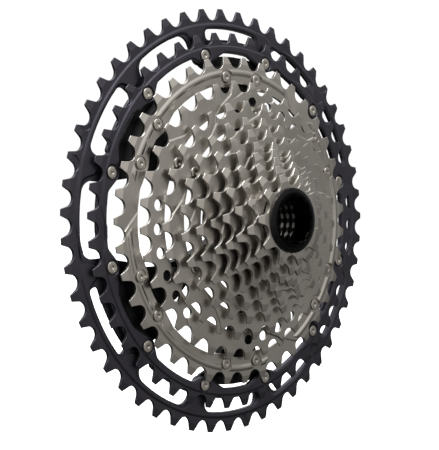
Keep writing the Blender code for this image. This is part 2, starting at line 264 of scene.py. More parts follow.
def as_hole(loop):
    return loop if signed_area(loop) < 0 else loop[::-1]


def moved_in(loop, distance):
    """The loop moved into the material on its left."""
    points = np.array(loop)
    along = np.roll(points, -1, axis=0) - points
    along /= np.linalg.norm(along, axis=1)[:, None]
    left = np.stack([-along[:, 1], along[:, 0]], axis=1)
    before = np.roll(left, 1, axis=0)
    share = np.clip(1 + (left * before).sum(axis=1), 0.45, 2)
    return points + distance * (left + before) / share[:, None]


def tooth_outline(teeth, first_tip):
    """Outline of a sprocket, and the (first, last) places in it of each tooth's tip."""
    pitch = pitch_radius(teeth)
    tip_radius = pitch + TIP_HEIGHT
    half_tip = math.degrees(TIP_WIDTH / 2 / tip_radius)
    half_gap = 180 / teeth
    gullet = []
    sweep = 62  # degrees of the gullet's arc to each side of its deepest point
    for angle in [*range(-sweep, sweep, 12 if teeth > 30 else 10), sweep]:
        x, z = polar(GULLET_RADIUS, angle)
        gullet.append((pitch - x, z))
    before = turned_by(gullet, -half_gap)[-1]
    after = turned_by(gullet, half_gap)[0]
    corner_low, corner_high = polar(tip_radius, -half_tip), polar(tip_radius, half_tip)

    def between(a, b, share):
        return a[0] + (b[0] - a[0]) * share, a[1] + (b[1] - a[1]) * share

    foot, rounding = 0.06, 0.07  # shares of a side at its foot and at the tip's rounded corner
    near_corner = 1 - rounding * 0.35
    tooth = [
        between(before, corner_low, foot),
        between(before, corner_low, 1 - rounding),
        between(between(before, corner_low, near_corner), corner_low, 0.2),
        between(corner_low, corner_high, rounding),
        between(corner_low, corner_high, 1 - rounding),
        between(between(after, corner_high, near_corner), corner_high, 0.2),
        between(after, corner_high, 1 - rounding),
        between(after, corner_high, foot),
    ]
    outline, tips = [], []
    for k in range(teeth):
        tips.append((len(outline), len(outline) + len(tooth) - 1))
        outline += turned_by(tooth, first_tip + 360 * k / teeth)
        outline += turned_by(gullet, first_tip + 360 * k / teeth + half_gap)
    return outline, tips


def lugged_edge(lug_circle, angles, gaps, lug_radius=LUG_RADIUS):
    """Inner edge of a ring sprocket: a ring's edge with a round lug inwards at each rivet.

    gaps repeat round the ring; each is (edge radius, half angle of a lug's foot, fillet)."""
    loop = []
    angles = sorted(angle % 360 for angle in angles)
    for number, angle in enumerate(angles):
        following = gaps[number % len(gaps)]
        feet = []
        for ring_radius, half_angle, fillet in (gaps[(number - 1) % len(gaps)], following):
            x, z = polar(ring_radius, half_angle)
            across = Vector((x - lug_circle, z))
            side = math.atan2(across.y, across.x) + math.acos(lug_radius / across.length)
            feet.append((x, z, fillet, math.degrees(side)))
        (x, z, fillet, start), (last_x, last_z, last_fillet, end) = feet
        lug = [(x, -z, fillet)]
        for k in range(9):
            x, z = polar(lug_radius, -start - (360 - start - end) * k / 8)
            lug.append((lug_circle + x, z, 0))
        lug.append((last_x, last_z, last_fillet))
        for x, z, fillet in lug:
            loop.append((*turned_by([(x, z)], angle)[0], fillet))
        gap = (angles[(number + 1) % len(angles)] - angle) % 360 - 2 * following[1]
        steps = max(2, round(gap / 2.5))
        # Points next to a foot are left out where its fillet needs the room
        first = 1 + (following[2] > 2 and steps > 4) + (following[2] > 5 and steps > 7)
        for k in range(first, steps - first + 1):
            loop.append((*polar(following[0], angle + following[1] + gap * k / steps), 0))
    return filleted(loop, 6)


def slot(inner_radius, outer_radius, half_angle, centre_angle, fillet, count=8):
    """A slot along the ring with rounded corners."""
    shares = [2 * k / count - 1 for k in range(count + 1)]
    loop = [(*polar(inner_radius, half_angle * share), abs(share) == 1) for share in shares]
    loop += [(*polar(outer_radius, -half_angle * share), abs(share) == 1) for share in shares]
    rounded = [(x, z, fillet if corner else 0) for x, z, corner in loop]
    return turned_by(filleted(rounded, 6), centre_angle)


def window(inner_radius, outer_radius, centre_angle, half_angle):
    """A window with rounded corners, narrower on the inside of the ring."""
    inner_half = half_angle * 0.62
    corners = [(*polar(inner_radius, -inner_half), 2.0)]
    corners += [(*polar(inner_radius, half_angle * share), 0) for share in (-0.3, 0, 0.3)]
    corners.append((*polar(inner_radius, inner_half), 2.0))
    corners.append((*polar(outer_radius, half_angle), 3.0))
    for share in (0.6, 0.4, 0.2, 0, -0.2, -0.4, -0.6):
        corners.append((*polar(outer_radius, half_angle * share), 0))
    corners.append((*polar(outer_radius, -half_angle), 3.0))
    return turned_by(filleted(corners, 5), centre_angle)


def spline_bore():
    """Loop of narrow splines with sloping sides."""
    flank = (
        (-0.2, SPLINE_INNER),
        (0.2, SPLINE_INNER),
        (0.32, SPLINE_OUTER),
        (0.68, SPLINE_OUTER),
    )
    step = 360 / SPLINES
    return [polar(radius, step * (k + share)) for k in range(SPLINES) for share, radius in flank]


# ---------------------------------------------------------------- meshes


def edge_profile(edge, steps=3):
    """(inset, depth) pairs down a rounded edge."""
    pairs = []
    for k in range(steps + 1):
        angle = math.pi / 2 * k / steps
        pairs.append((edge * (1 - math.sin(angle)), edge * (1 - math.cos(angle))))
    return pairs


def wear_and_highlight_layer(work):
    """The face layer that tells the materials where an edge is brightened, partly as wear and
    partly as painted highlight.
    """
    return work.faces.layers.float.get("edge") or work.faces.layers.float.new("edge")


def add_ring(work, loop, y):
    return [work.verts.new((x * MM, y * MM, z * MM)) for x, z in loop]


def add_plate(
    work, front, back, outer, holes=(), edge=EDGE, tips=(), taper=(0.0, 0.0, 0.0), slope=()
):
    """A plate between y = front (outboard) and y = back, with rounded edges.

    tips are the teeth's tips, which the taper (start radius, front slope, back slope) makes
    thinner. slope is (inset, depth) pairs of a broader rounding of the front edges, which leaves
    the back ones sharp."""
    wear_and_highlight = wear_and_highlight_layer(work)
    levels = [(front + depth, inset) for inset, depth in edge_profile(edge)]
    levels += [(back - depth, inset) for inset, depth in reversed(edge_profile(edge))]
    if slope:
        levels = [(front + depth, inset) for inset, depth in slope] + [(back, 0.0)]
    middle = len(levels) // 2
    loops = [as_outer(outer), *[as_hole(hole) for hole in holes]]
    rims = [[add_ring(work, moved_in(loop, inset), y) for y, inset in levels] for loop in loops]
    for rim in rims:
        for number, (upper, lower) in enumerate(zip(rim, rim[1:])):
            for k in range(len(upper)):
                following = (k + 1) % len(upper)
                face = work.faces.new((upper[k], upper[following], lower[following], lower[k]))
                # Rounded edges are marked to be painted brighter, as wear and as painted highlight
                face[wear_and_highlight] = 0.0 if slope or number == middle - 1 else 1.0
    inside_tips = set()
    for first, last in tips:
        inside_tips.update(range(first, last))
    for side in (0, -1):
        edges = []
        for number, rim in enumerate(rims):
            ring = rim[side]
            for k in range(len(ring)):
                if number == 0 and k in inside_tips:
                    continue
                edges.append(work.edges.get((ring[k], ring[(k + 1) % len(ring)])))
        for first, last in tips:
            ring = rims[0][side]
            crease = work.edges.new((ring[first], ring[last]))
            crease.smooth = False
            edges.append(crease)
            work.faces.new(ring[first : last + 1])
        filled = bmesh.ops.triangle_fill(work, use_beauty=True, use_dissolve=False, edges=edges)
        for item in filled["geom"]:
            if isinstance(item, bmesh.types.BMFace):
                item[wear_and_highlight] = 0.0
    start, front_slope, back_slope = taper
    for first, last in tips:
        for level, ring in enumerate(rims[0]):
            lean = front_slope if level < middle else -back_slope
            for vert in ring[first : last + 1]:
                above = math.hypot(vert.co.x, vert.co.z) / MM - start
                if above > 0:
                    vert.co.y += above * lean * MM


def finished(work, name, sharp_angle=38):
    """The mesh, shaded smooth apart from edges sharper than the angle."""
    bmesh.ops.remove_doubles(work, verts=work.verts[:], dist=1e-7)
    bmesh.ops.recalc_face_normals(work, faces=work.faces[:])
    limit = math.radians(sharp_angle)
    for face in work.faces:
        face.smooth = True
    for item in work.edges:
        if len(item.link_faces) == 2 and item.calc_face_angle(0) > limit:
            item.smooth = False
    mesh = bpy.data.meshes.new(name)
    work.to_mesh(mesh)
    work.free()
    return mesh


def turned(work, profiles):
    """A solid turned about Y, from one (radius, y) loop for each angle in turn."""
    wear_and_highlight = wear_and_highlight_layer(work)
    rings = []
    for k, profile in enumerate(profiles):
        ring = []
        for radius, y in profile:
            x, z = polar(radius, 360 * k / len(profiles))
            ring.append(work.verts.new((x * MM, y * MM, z * MM)))
        rings.append(ring)
    for k, ring in enumerate(rings):
        following = rings[(k + 1) % len(rings)]
        for number in range(len(ring)):
            corners = (ring[number - 1], ring[number], following[number], following[number - 1])
            face = work.faces.new(corners)
            # Short faces are edges, marked to be painted brighter as wear and as painted highlight
            short = (ring[number].co - ring[number - 1].co).length < WEAR_AND_HIGHLIGHT_WIDTH * MM
            face[wear_and_highlight] = 1.0 if short else 0.0


def turned_ring(work, corners, count):
    """A ring turned from (radius, y, rounding) corners."""
    turned(work, [filleted(corners, 3)] * count)


def weight_normals(made):
    weigh = made.modifiers.new("Weighted normals", "WEIGHTED_NORMAL")
    weigh.keep_sharp = True
    return weigh


def add_object(name, mesh, material, body, replaces, flat=True):
    """Put the mesh in the scene on its body, in the place of nodes of the CAD."""
    made = bpy.data.objects.new(name, mesh)
    mesh.materials.clear()
    mesh.materials.append(material)
    bpy.context.scene.collection.objects.link(made)
    if flat:
        weight_normals(made).weight = 80
    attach(made, body)
    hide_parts(*replaces)
    return made


def boolean_of(mesh, cutter, operation="DIFFERENCE"):
    """The mesh after an exact Boolean with a second mesh."""
    base = bpy.data.objects.new("boolean_base", mesh)
    other = bpy.data.objects.new("boolean_other", cutter)
    for made in (base, other):
        bpy.context.scene.collection.objects.link(made)
    modifier = base.modifiers.new("Cut", "BOOLEAN")
    modifier.operation = operation
    modifier.solver = "EXACT"
    modifier.object = other
    bpy.context.view_layer.update()
    graph = bpy.context.evaluated_depsgraph_get()
    result = bpy.data.meshes.new_from_object(base.evaluated_get(graph))
    for made in (base, other):
        bpy.data.objects.remove(made)
    return result


def wells(recesses, front):
    """Cutters for recesses in a face at y = front.

    Each recess is (loop, depth, width of the wall's slope, share), where share(x, z) is the part of
    the depth that a place has, or None."""
    above, play = 0.7, 0.05  # how far before the face a cutter starts, and its extra width there
    work = bmesh.new()
    for loop, depth, width, share in recesses:
        outer = as_outer(loop)
        rings = [add_ring(work, moved_in(outer, -play), front - above)]
        for down, inset in SOFT_WALL if width else [(1.0, 0.0)]:
            ring = []
            for x, z in moved_in(outer, inset * width):
                y = front - 0.01 + down * depth * (share(x, z) if share else 1.0)
                ring.append(work.verts.new((x * MM, y * MM, z * MM)))
            rings.append(ring)
        for upper, lower in zip(rings, rings[1:]):
            for k in range(len(upper)):
                work.faces.new((upper[k - 1], upper[k], lower[k], lower[k - 1]))
        work.faces.new(rings[0])
        work.faces.new(rings[-1])
    bmesh.ops.triangulate(work, faces=work.faces[:])
    bmesh.ops.recalc_face_normals(work, faces=work.faces[:])
    mesh = bpy.data.meshes.new("wells")
    work.to_mesh(mesh)
    work.free()
    return mesh


def ramp(root, angle, wall=RAMP_WALL, side=1, depth=0.7, width=1.0, margin=7.0):
    """A shift ramp: a recess open to the teeth, with a curved wall, that runs out to nothing.

    wall is (height over the root circle, distance along it from the angle) points, from the teeth
    down to the foot. The recess is on the side of smaller angles, or of larger ones where side
    is -1."""
    points = []
    for height, along in wall:
        radius = root + height
        points.append((*polar(radius, angle - side * math.degrees(along / radius)), 2.5))
    lowest, length = root + wall[-1][0], math.degrees((wall[-1][1] + margin) / root)
    clear = root + BEYOND_TEETH
    for radius, place in ((lowest, 1.0), (clear, 1.0), (clear, 0.5)):
        points.append((*polar(radius, angle - side * length * place), 0))

    def share(x, z):
        gone = side * ((angle - math.degrees(math.atan2(z, x)) + 180) % 360 - 180) / length
        return 1.08 - 1.2 * max(gone, 0.0)

    return filleted(points, 5), depth, width, share


def round_ramp(radius, angle, size, depth=0.5):
    """A shift ramp left by a round cutter."""
    return circle(size, 40, polar(radius, angle)), depth, 0.6, None


# ---------------------------------------------------------------- finishes

# Near-black colour painted inside the bores as painted shade
PAINTED_BORE_SHADE = (0.004, 0.004, 0.0035)


class Nodes:
    """Short way to add and link shader nodes."""

    def __init__(self, name):
        self.material = bpy.data.materials.new(name)
        self.material.use_nodes = True
        self.tree = self.material.node_tree
        self.shader = self.tree.nodes["Principled BSDF"]
        self.place = self.add("ShaderNodeTexCoord").outputs["Object"]

    def add(self, kind, **settings):
        node = self.tree.nodes.new(kind)
        for key, value in settings.items():
            if hasattr(node, key):
                setattr(node, key, value)
            else:
                node.inputs[key.replace("_", " ")].default_value = value
        return node

    def link(self, source, target):
        self.tree.links.new(source, target)

    def noise(self, scale, detail=3.0, roughness=0.55, vector=None):
        node = self.add("ShaderNodeTexNoise", Scale=scale, Detail=detail, Roughness=roughness)
        self.link(vector or self.place, node.inputs["Vector"])
        return node.outputs["Fac"]

    def span(self, value, low, high, from_low=0.25, from_high=0.75):
        node = self.add("ShaderNodeMapRange")
        for key, number in (
            ("From Min", from_low),
            ("From Max", from_high),
            ("To Min", low),
            ("To Max", high),
        ):
            node.inputs[key].default_value = number
        self.link(value, node.inputs["Value"])
        return node.outputs["Result"]

    def mix(self, share, first, second):
        node = self.add("ShaderNodeMix", data_type="RGBA")
        self.link(share, node.inputs["Factor"])
        for socket, colour in ((node.inputs["A"], first), (node.inputs["B"], second)):
            if isinstance(colour, tuple):
                socket.default_value = (*colour, 1.0)
            else:
                self.link(colour, socket)
        return node.outputs["Result"]

    def radius(self):
        parts = self.add("ShaderNodeSeparateXYZ")
        self.link(self.place, parts.inputs["Vector"])
        flat = self.add("ShaderNodeCombineXYZ")
        self.link(parts.outputs["X"], flat.inputs["X"])
        self.link(parts.outputs["Z"], flat.inputs["Y"])
        length = self.add("ShaderNodeVectorMath", operation="LENGTH")
        self.link(flat.outputs["Vector"], length.inputs[0])
        return length.outputs["Value"]

    def radius_noise(self, scale, stretch):
        """Noise in fine rings about the spin axis, as turning or grinding leaves."""
        parts = self.add("ShaderNodeSeparateXYZ")
        self.link(self.place, parts.inputs["Vector"])
        angle = self.add("ShaderNodeMath", operation="ARCTAN2")
        self.link(parts.outputs["Z"], angle.inputs[0])
        self.link(parts.outputs["X"], angle.inputs[1])
        both = self.add("ShaderNodeCombineXYZ")
        self.link(self.radius(), both.inputs["X"])
        shrunk = self.add("ShaderNodeMath", operation="MULTIPLY")
        shrunk.inputs[1].default_value = stretch
        self.link(angle.outputs["Value"], shrunk.inputs[0])
        self.link(shrunk.outputs["Value"], both.inputs["Y"])
        self.link(parts.outputs["Y"], both.inputs["Z"])
        return self.noise(scale, 4.0, 0.6, both.outputs["Vector"])

    def product(self, first, second):
        node = self.add("ShaderNodeMath", operation="MULTIPLY")
        self.link(first, node.inputs[0])
        self.link(second, node.inputs[1])
        return node.outputs["Value"]

    def edge(self):
        node = self.add("ShaderNodeAttribute", attribute_name="edge")
        return node.outputs["Fac"]

    def bump(self, height, strength, distance):
        node = self.add("ShaderNodeBump", Strength=strength, Distance=distance)
        self.link(height, node.inputs["Height"])
        self.link(node.outputs["Normal"], self.shader.inputs["Normal"])


def metal(
    name, dark, light, edge, rough, metallic, grain=0.06, rings=False, specular=0.5, bore=0.0
):
    """A metal finish: two close tones in patches, edges made brighter as wear and as painted
    highlight, and a fine grain.

    The grain runs in rings about the axis, as turning leaves it, or in every direction. Within the
    bore's radius the metal is painted nearly black as painted shade, and its bright edges are
    dimmed to faint painted glints."""
    made = Nodes(name)
    patches = made.span(made.noise(38.0, 4.0), 0.0, 1.0, 0.3, 0.7)
    body = made.mix(patches, dark, light)
    wear_and_highlight = made.span(made.noise(420.0, 3.0), 0.0, 1.0, 0.35, 0.62)
    # Painted shade: inside the bore the colour goes to near black, and the bright edges keep only
    # faint painted glints
    if bore:
        limits = ((bore - 0.4) * MM, bore * MM)
        body = made.mix(made.span(made.radius(), 0.0, 1.0, *limits), PAINTED_BORE_SHADE, body)
        wear_and_highlight = made.product(wear_and_highlight, made.span(made.radius(), 0.12, 1.0, *limits))
    # Edges are painted lighter in patches: partly wear, partly painted highlight
    colour = made.mix(made.product(made.edge(), wear_and_highlight), body, edge)
    made.link(colour, made.shader.inputs["Base Color"])
    made.shader.inputs["Metallic"].default_value = metallic
    made.shader.inputs["Specular IOR Level"].default_value = specular
    streaks = made.radius_noise(900.0, 0.004) if rings else made.noise(160.0, 4.0)
    made.link(made.span(streaks, *rough), made.shader.inputs["Roughness"])
    made.bump(streaks if rings else made.noise(5200.0, 2.0), grain, 0.00004)
    return made.material


def nickel_steel(name, bore):
    return metal(
        name,
        (0.50, 0.473, 0.433),
        (0.60, 0.573, 0.531),
        (0.74, 0.72, 0.69),
        (0.27, 0.4),
        1.0,
        grain=0.12,
        rings=True,
        bore=bore,
    )


def make_finishes():
    # The third colour of each finish is its edge colour, lighter partly for wear and partly as
    # painted highlight
    return {
        "dark_anodised": metal(
            "dark anodised aluminium",
            (0.062, 0.059, 0.074),
            (0.088, 0.084, 0.102),
            (0.16, 0.155, 0.175),
            (0.36, 0.5),
            0.85,
            grain=0.25,
        ),
        "black_anodised": metal(
            "black anodised aluminium",
            (0.004, 0.004, 0.0045),
            (0.008, 0.008, 0.009),
            (0.014, 0.014, 0.015),
            (0.42, 0.58),
            0.3,
            grain=0.25,
            specular=0.25,
        ),
        # Inside radius 16.8 mm the steel gets painted shade, which darkens the loose sprockets'
        # spline bores
        "nickel_steel": nickel_steel("nickel plated steel", 16.8),
        "nickel_steel_10t": nickel_steel("nickel plated steel, smaller bore", 13.6),
        "rivet_steel": metal(
            "rivet steel",
            (0.52, 0.49, 0.44),
            (0.62, 0.59, 0.54),
            (0.75, 0.73, 0.68),
            (0.26, 0.38),
            1.0,
            grain=0.2,
        ),
        "washer_steel": metal(
            "washer steel",
            (0.28, 0.27, 0.25),
            (0.36, 0.35, 0.33),
            (0.5, 0.49, 0.46),
            (0.3, 0.42),
            1.0,
            grain=0.15,
            rings=True,
        ),
        "gloss_black": metal(
            "black anodised lockring",
            (0.016, 0.016, 0.017),
            (0.022, 0.022, 0.024),
            (0.060, 0.060, 0.064),
            (0.16, 0.24),
            1.0,
            grain=0.08,
            # painted shade inside the lockring's bore
            bore=BORE_10T,
        ),
    }


# ---------------------------------------------------------------- the cassette


def plane_of(index):
    return LARGEST_PLANE - SPACING * index


def faces_of(index):
    """y of a sprocket's outboard and inboard faces."""
    return plane_of(index) - THICKNESS / 2, plane_of(index) + THICKNESS / 2


def lug_angles(spread):
    return [arm + side for arm in ARM_ANGLES for side in ((-spread, spread) if spread else (0,))]


def lug_places(spread, circle_radius):
    return [polar(circle_radius, angle) for angle in lug_angles(spread)]


def taper_of(teeth):
    """Where a tooth starts to get thinner, and the slopes of its outboard and inboard sides."""
    return pitch_radius(teeth) - 1.65, 0.24, 0.06


def raised_outline(radius, dips):
    """Outer edge of a sprocket's raised ring.

    A dip is (start, width of its slope, end, width of its slope, radius at its bottom)."""
    loop = []
    count = 360
    for k in range(count):
        angle = 360 * k / count
        value = radius
        for start, start_width, end, end_width, low in dips:
            if (angle - start) % 360 < (end - start):
                rise = min((angle - start) % 360 / start_width, 1.0)
                fall = min((end - angle) % 360 / end_width, 1.0)
                value -= (radius - low) * min(rise, fall)
        loop.append(polar(value, angle))
    return loop


def ring_arc(inner, outer, start, end, lead):
    """Outline of a ridge between two angles, which reaches lead degrees farther on the inside."""
    count = round((end - start) / 1.5)
    shares = [k / count for k in range(count + 1)]
    low, high = start - lead, end + lead
    return [polar(outer, start + (end - start) * share) for share in shares] + [
        polar(inner, high + (low - high) * share) for share in shares
    ]


def soft_slope(height, width):
    """(inset, depth) pairs of a slope that is rounded at its top and its foot."""
    shares = ((1.0, 0.0), (0.75, 0.09), (0.52, 0.42), (0.3, 0.8), (0.0, 1.0))
    return [(width * inset, height * depth) for inset, depth in shares]


def toothed_plate(index, holes, cuts):
    """Mesh of one sprocket's plate, with recesses cut in its outboard face."""
    teeth, first_tip = SPROCKETS[index]
    front, back = faces_of(index)
    outline, tips = tooth_outline(teeth, first_tip)
    work = bmesh.new()
    add_plate(work, front, back, outline, holes, tips=tips, taper=taper_of(teeth))
    mesh = finished(work, "base")
    return boolean_of(mesh, wells(cuts, front)) if cuts else mesh


def merged(name, *meshes):
    work = bmesh.new()
    for mesh in meshes:
        work.from_mesh(mesh)
    return finished(work, name)


def make_51t(finish):
    """The 51T has a raised rim on both faces, and slots at every second arm."""
    lugs = lug_angles(TIP_SPREAD)
    front, back = faces_of(0)
    cuts = []
    for turn in THIRDS:
        cuts += [round_ramp(101.6, 154.6 + turn, 4.2), round_ramp(102.5, 166 + turn, 4.6)]
    holes = [lugged_edge(TIP_CIRCLE, lugs, GAPS_51T)]
    holes += [slot(*SLOT_51T, arm, 2.65) for arm in ARM_ANGLES[1::2]]
    plate = toothed_plate(0, holes, cuts)

    inner, outer = 95.02, 98.1
    work = bmesh.new()
    dips = [(182 + turn, 7, 195.5 + turn, 4.5, 95.9) for turn in THIRDS]
    raised = lugged_edge(91.8, lugs, ((inner, 4.2, 4.0),))
    outline = raised_outline(outer, dips)
    add_plate(work, front - 0.7, front + 0.2, outline, [raised], slope=soft_slope(0.7, 1.3))
    low, high = back - 0.4, back + 0.65
    rim = [(inner, low, 0), (outer, low, 0), (outer, high, 0.5), (inner, high, 0.3)]
    turned_ring(work, rim, 240)
    mesh = merged("sprocket_51t_fine", plate, finished(work, "raised"))
    add_object("ring_51t", mesh, finish, "cassette", ["sprocket_51t"])


def make_45t(finish):
    """The 45T has a raised rim with the rivets' seats, and bars inboard of it."""
    tips = lug_places(TIP_SPREAD, TIP_CIRCLE)
    lugs = lug_angles(TIP_SPREAD)
    front, back = faces_of(1)
    cuts = [(circle(3.6, 32, place), 0.5, 0, None) for place in tips]
    for turn in THIRDS:
        cuts += [round_ramp(90.5, 142 + turn, 4.2), round_ramp(90, 158.5 + turn, 4.4)]
    plate = toothed_plate(1, [lugged_edge(TIP_CIRCLE, lugs, GAPS_45T)], cuts)

    height = 0.6
    work = bmesh.new()
    dips = [(176 + turn, 6, 191 + turn, 5.5, 83.9) for turn in THIRDS]
    raised = lugged_edge(TIP_CIRCLE, lugs, ((82.72, 9.3, 5.0), (82.72, 6.0, 4.0)))
    outline = raised_outline(86.6, dips)
    slope = soft_slope(height, 1.1)
    add_plate(work, front - height, front + 0.2, outline, [raised], slope=slope)
    raised = finished(work, "raised")
    # Each rivet sits in a round seat, first its chamfer and then the seat itself
    for radius, depth, width in ((4.1, 0.61, 0.5), (3.65, 1.2, 0)):
        seats = [(circle(radius, 40, place), depth, width, None) for place in tips]
        raised = boolean_of(raised, wells(seats, front - height))

    work = bmesh.new()
    for k in range(12):
        add_plate(work, plane_of(1), back + 0.9, slot(*RIM_45T, 30 * k, 2.0), edge=0.3)
    mesh = merged("sprocket_45t_fine", plate, raised, finished(work, "arcs"))
    add_object("ring_45t", mesh, finish, "cassette", ["sprocket_45t"])


def make_39t(finish):
    """The 39T has a ridge inside its teeth, in three arcs."""
    front, _ = faces_of(2)
    middles = lug_places(MID_SPREAD, MID_CIRCLE)
    cuts = [(circle(3.5, 32, place), 0.45, 0, None) for place in middles]
    for turn in THIRDS:
        cuts.append(ramp(root_radius(39), 184.5 + turn, SHORT_WALL))
        cuts.append(round_ramp(78.5, 148 + turn, 4.0))
    inner = lugged_edge(MID_CIRCLE, lug_angles(MID_SPREAD), GAPS_39T, LUG_RADIUS_39T)
    plate = toothed_plate(2, [inner], cuts)

    height = 0.6
    work = bmesh.new()
    for turn in THIRDS:
        ridge = ring_arc(71.0, 74.5, 184.9 + turn, 284 + turn, 2.6)
        add_plate(work, front - height, front + 0.2, ridge, slope=soft_slope(height, 1.5))
    seats = [(circle(4.1, 40, place), 1.2, 0, None) for place in middles]
    ridges = boolean_of(finished(work, "ridges"), wells(seats, front - height))
    mesh = merged("sprocket_39t_fine", plate, ridges)
    add_object("ring_39t", mesh, finish, "cassette", ["sprocket_39t"])


def make_33t(finish):
    """The 33T has an eye hole in some of its teeth."""
    teeth, first_tip = SPROCKETS[3]
    front, _ = faces_of(3)
    root = root_radius(teeth)
    cuts = [ramp(root, angle) for angle in (145, 232, 292)]
    cuts += [ramp(root, angle, STEEP_WALL, -1) for angle in (97.6, 70, 40, 10)]
    radius, half_height, half_width = EYE_33T
    eye = [(radius + x * half_height, z * half_width) for x, z in circle(1.0, 24)]
    holes = [lugged_edge(CIRCLE_33T, ARM_ANGLES, ((54.4, 6.2, 2.0),))]
    holes += [turned_by(eye, first_tip + 360 * k / teeth) for k in EYE_TEETH_33T]
    plate = toothed_plate(3, holes, cuts)
    # One ramp overlaps another, so it is cut on its own
    second = wells([ramp(root, 91.5, LOW_WALL, -1, 0.5, 0.8, 2.0)], front)
    mesh = merged("sprocket_33t_fine", boolean_of(plate, second))
    add_object("ring_33t", mesh, finish, "cassette", ["sprocket_33t"])


def make_28t(finish):
    root = root_radius(28)
    cuts = [ramp(root, angle) for angle in (178.4, 246, 314)]
    cuts += [ramp(root, angle, STEEP_WALL, -1) for angle in (115, 82, 48, 14)]
    inner = lugged_edge(CIRCLE_28T, ARM_ANGLES, ((45.6, 7.2, 2.0),))
    mesh = merged("sprocket_28t_fine", toothed_plate(4, [inner], cuts))
    add_object("ring_28t", mesh, finish, "cassette", ["sprocket_28t"])


def loose_cuts(teeth, first_tip):
    """Shift ramps of a loose sprocket, at every fourth or fifth gullet."""
    root = root_radius(teeth)
    step = 360 / teeth
    cuts = []
    for k in range(1, teeth, 5 if teeth in (24, 21, 10) else 4):
        gullet = first_tip + step * (k + 0.5)
        if teeth > 14:
            side = -1 if (gullet + 10) % 360 < 130 else 1
            cuts.append(ramp(root, gullet, LOW_WALL, side, 0.6, 0.9, 3.0))
        else:
            place = polar(root + 2.0, gullet - 0.2 * step)
            cuts.append((circle(3.7, 32, place), 0.4, 0.5, None))
    return cuts


def make_loose_sprockets(finishes):
    """The loose sprockets, and the collar or spacer inboard of each."""
    steel = finishes["nickel_steel"]
    for index in range(5, 12):
        teeth, first_tip = SPROCKETS[index]
        _, back = faces_of(index)
        high = faces_of(index - 1)[0] - 0.05
        holes = [circle(BORE_10T, 96)] if teeth == 10 else [spline_bore()]
        if teeth == 24:
            inner, outer, half_angle = WINDOW_24T
            holes += [window(inner, outer, 60 * k, half_angle) for k in range(6)]
        plate = toothed_plate(index, holes, loose_cuts(teeth, first_tip))
        work = bmesh.new()
        if teeth in COLLARS:
            outer, inner = COLLARS[teeth]
            low = back - 0.3
            collar = [(inner, low, 0), (outer, low, 0), (outer, high, 0.3), (inner, high, 0.2)]
            turned_ring(work, collar, 96)
        mesh = merged(f"sprocket_{teeth}t_fine", plate, finished(work, "boss"))
        finish = finishes["nickel_steel_10t"] if teeth == 10 else steel
        node = f"sprocket_{teeth}t"
        add_object(f"cog_{teeth}t", mesh, finish, "cassette", [node])
        if teeth not in COLLARS:
            node = f"spacer_{teeth}_{SPROCKETS[index - 1][0]}"
            low = back + 0.05
            work = bmesh.new()
            corners = [
                (SPACER_BORE, low, 0.2),
                (SPACER_OUTER, low, 0.3),
                (SPACER_OUTER, high, 0.3),
                (SPACER_BORE, high, 0.2),
            ]
            turned_ring(work, corners, 96)
            mesh = finished(work, f"{node}_fine")
            add_object(f"turned_{node}", mesh, steel, "cassette", [node])


def rivet_mesh(name, x, z, front, back):
    """A round rivet with a dimpled head at the front and a plain tail at the back."""
    work = bmesh.new()
    profile = [(radius, front + y) for radius, y in RIVET_HEAD]
    profile += [(radius, back + y) for radius, y in RIVET_TAIL]
    rings = []
    for k in range(RIVET_SIDES):
        ring = []
        for radius, y in profile[1:-1]:
            px, pz = polar(radius, 360 * k / RIVET_SIDES)
            ring.append(work.verts.new(((x + px) * MM, y * MM, (z + pz) * MM)))
        rings.append(ring)
    caps = [work.verts.new((x * MM, y * MM, z * MM)) for _, y in (profile[0], profile[-1])]
    for k in range(RIVET_SIDES):
        ring, following = rings[k - 1], rings[k]
        for n in range(1, len(ring)):
            work.faces.new((ring[n - 1], ring[n], following[n], following[n - 1]))
        work.faces.new((caps[0], ring[0], following[0]))
        work.faces.new((caps[1], following[-1], ring[-1]))
    return finished(work, name, 45)


def make_rivets(finishes):
    # Name, the sprocket under the head, y under the tail, places
    groups = (
        ("outer_rivet", 1, faces_of(0)[1], lug_places(TIP_SPREAD, TIP_CIRCLE)),
        ("inner_rivet", 2, 0.3, lug_places(MID_SPREAD, MID_CIRCLE)),
        ("rivet_33t", 3, -3.0, lug_places(0, CIRCLE_33T)),
        ("rivet_28t", 4, -6.3, lug_places(0, CIRCLE_28T)),
    )
    for name, index, back, places in groups:
        front = faces_of(index)[0] - 0.05
        for number, (x, z) in enumerate(places, 1):
            node = f"{name}_{number:02d}"
            mesh = rivet_mesh(f"{node}_fine", x, z, front, back + 0.05)
            add_object(
                f"round_{node}",
                mesh,
                finishes["rivet_steel"],
                "cassette",
                [node],
                flat=False,
            )


def arm_corners():
    """(x, z, rounding) corners of a spider arm along +X, which forks to two rivets at its tip."""
    side = [
        (28.0, 4.8, 0),
        (38.0, 5.8, 8),
        (50.0, 7.0, 10),
        (59.0, 9.4, 12),
        (66.0, 13.3, 8),
    ]
    tip = polar(TIP_CIRCLE, TIP_SPREAD)
    middle = polar(MID_CIRCLE, MID_SPREAD)
    leg = math.degrees(math.atan2(tip[1] - middle[1], tip[0] - middle[0]))
    for turn in range(90, -63, -12):
        x, z = polar(LUG_RADIUS, leg + turn)
        side.append((tip[0] + x, tip[1] + z, 0))
    lower = tip[1] - LUG_RADIUS - 1.5
    side.append((math.sqrt(WEB_RADIUS**2 - lower**2), lower, 1.6))
    side += [(*polar(WEB_RADIUS, angle), 0) for angle in (8.0, 4.0)]
    return [(x, -z, r) for x, z, r in side] + [(*polar(WEB_RADIUS, 0), 0)] + side[::-1]


